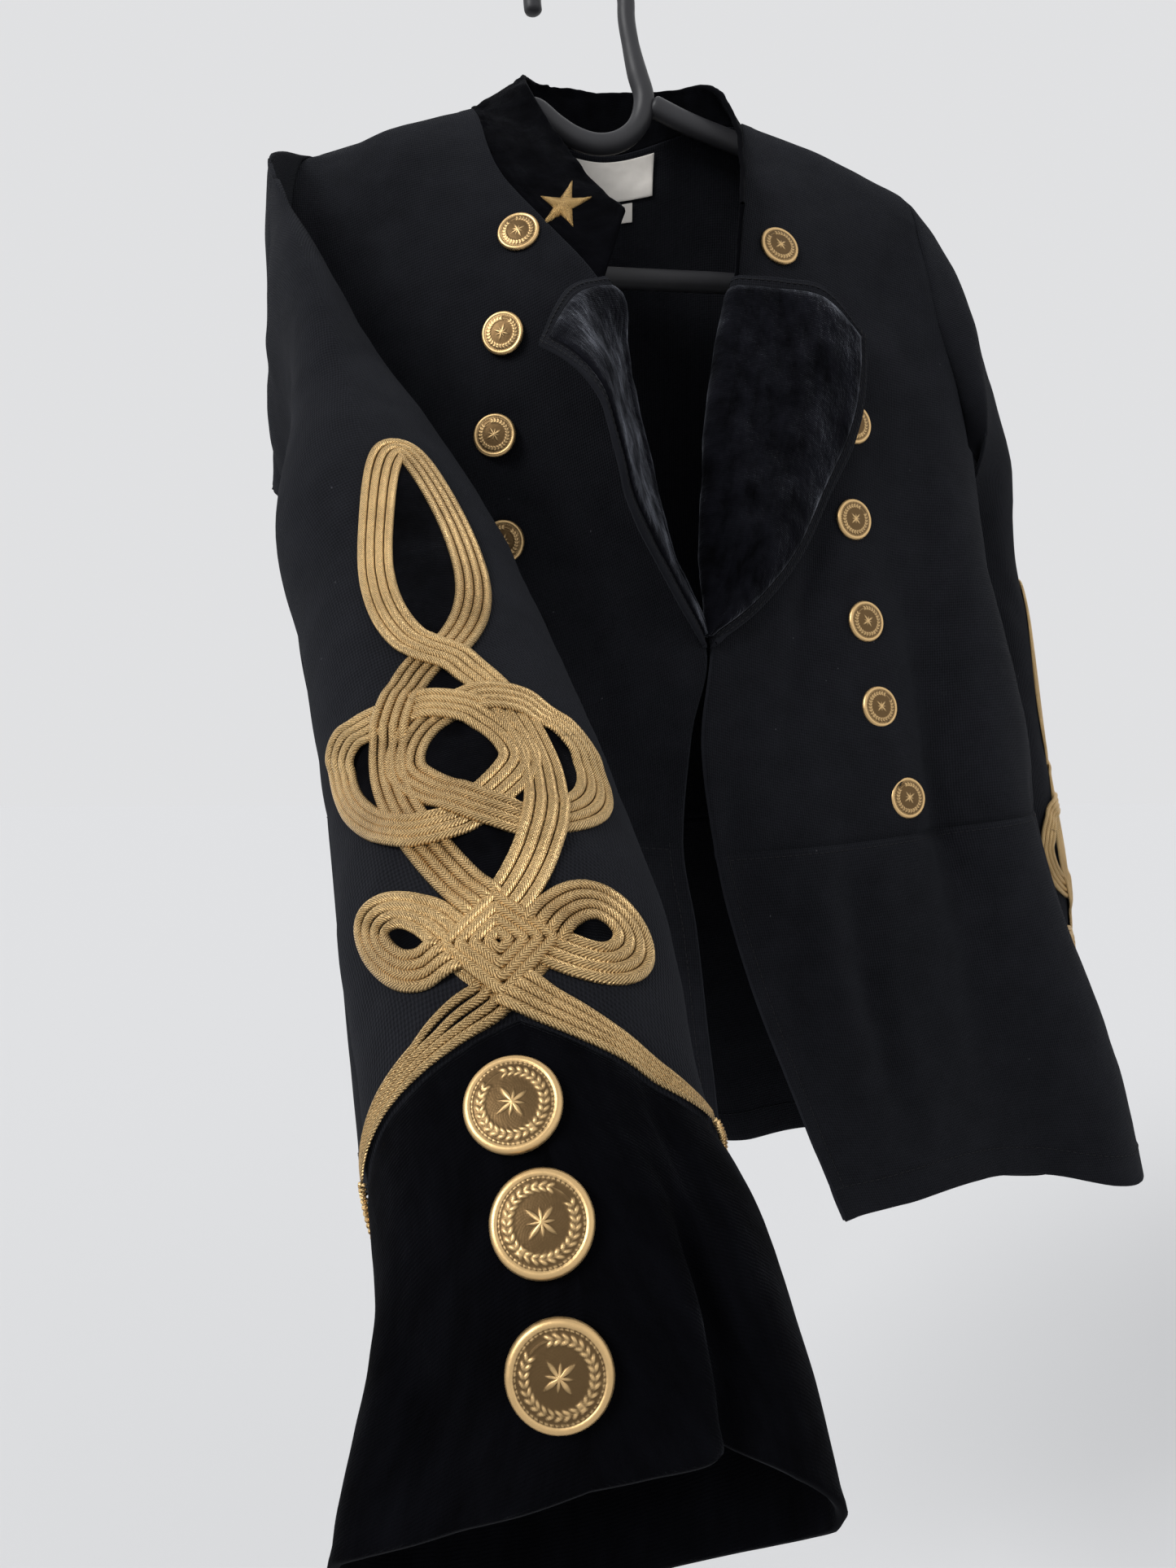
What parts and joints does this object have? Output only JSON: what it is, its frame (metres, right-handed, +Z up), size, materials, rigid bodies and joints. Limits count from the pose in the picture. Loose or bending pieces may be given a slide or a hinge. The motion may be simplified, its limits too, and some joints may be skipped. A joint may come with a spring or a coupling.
{
  "type": "napoleon jacket on a hanger",
  "caption": "Black military-style jacket hanging open on a plain hanger, with gold sleeve knots, domed buttons, velvet lapels, collar and cuffs.",
  "frame": {"origin": "highest point inside the hanger's hook, where the rail holds it", "axes": "+X along the hanger to the wearer's left, -Y the jacket's front, +Z up"},
  "size_m": [0.5098, 0.5339, 0.7383],
  "materials": {
    "back": "brushed black cotton jersey",
    "back_skirt": "brushed black cotton jersey",
    "button_left_1": "aged gilt metal",
    "button_left_2": "aged gilt metal",
    "button_left_3": "aged gilt metal",
    "button_left_4": "aged gilt metal",
    "button_left_5": "aged gilt metal",
    "button_left_6": "aged gilt metal",
    "button_left_7": "aged gilt metal",
    "button_right_1": "aged gilt metal",
    "button_right_2": "aged gilt metal",
    "button_right_3": "aged gilt metal",
    "button_right_4": "aged gilt metal",
    "button_right_5": "aged gilt metal",
    "button_right_6": "aged gilt metal",
    "button_right_7": "aged gilt metal",
    "collar": "black velvet",
    "cuff_button_left_1": "aged gilt metal",
    "cuff_button_left_2": "aged gilt metal",
    "cuff_button_left_3": "aged gilt metal",
    "cuff_button_right_1": "aged gilt metal",
    "cuff_button_right_2": "aged gilt metal",
    "cuff_button_right_3": "aged gilt metal",
    "cuff_left": "black velvet",
    "cuff_piping_left": "gold metallic braid",
    "cuff_piping_right": "gold metallic braid",
    "cuff_right": "black velvet",
    "front_left": "brushed black cotton jersey",
    "front_right": "brushed black cotton jersey",
    "hanger_bar": "satin black plastic",
    "hanger_hook": "satin black plastic",
    "knot_backing_left": "black velvet",
    "knot_backing_right": "black velvet",
    "knot_left": "gold metallic braid",
    "knot_right": "gold metallic braid",
    "lapel_facing_left": "black velvet",
    "lapel_facing_right": "black velvet",
    "neck_label": "woven cream satin",
    "size_tab": "woven cream satin",
    "skirt_left": "brushed black cotton jersey",
    "skirt_right": "brushed black cotton jersey",
    "sleeve_left": "brushed black cotton jersey",
    "sleeve_right": "brushed black cotton jersey",
    "star_left": "gold metallic braid",
    "star_right": "gold metallic braid"
  },
  "bodies": {
    "root": {"back": "back", "back_skirt": "back_skirt", "button_left_1": "button_left_1", "button_left_2": "button_left_2", "button_left_3": "button_left_3", "button_left_4": "button_left_4", "button_left_5": "button_left_5", "button_left_6": "button_left_6", "button_left_7": "button_left_7", "button_right_1": "button_right_1", "button_right_2": "button_right_2", "button_right_3": "button_right_3", "button_right_4": "button_right_4", "button_right_5": "button_right_5", "button_right_6": "button_right_6", "button_right_7": "button_right_7", "collar": "collar", "cuff_button_left_1": "cuff_button_left_1", "cuff_button_left_2": "cuff_button_left_2", "cuff_button_left_3": "cuff_button_left_3", "cuff_button_right_1": "cuff_button_right_1", "cuff_button_right_2": "cuff_button_right_2", "cuff_button_right_3": "cuff_button_right_3", "cuff_left": "cuff_left", "cuff_piping_left": "cuff_piping_left", "cuff_piping_right": "cuff_piping_right", "cuff_right": "cuff_right", "front_left": "front_left", "front_right": "front_right", "hanger_bar": "hanger_bar", "hanger_hook": "hanger_hook", "knot_backing_left": "knot_backing_left", "knot_backing_right": "knot_backing_right", "knot_left": "knot_left", "knot_right": "knot_right", "lapel_facing_left": "lapel_facing_left", "lapel_facing_right": "lapel_facing_right", "neck_label": "neck_label", "size_tab": "size_tab", "skirt_left": "skirt_left", "skirt_right": "skirt_right", "sleeve_left": "sleeve_left", "sleeve_right": "sleeve_right", "star_left": "star_left", "star_right": "star_right"}
  },
  "joints": []
}
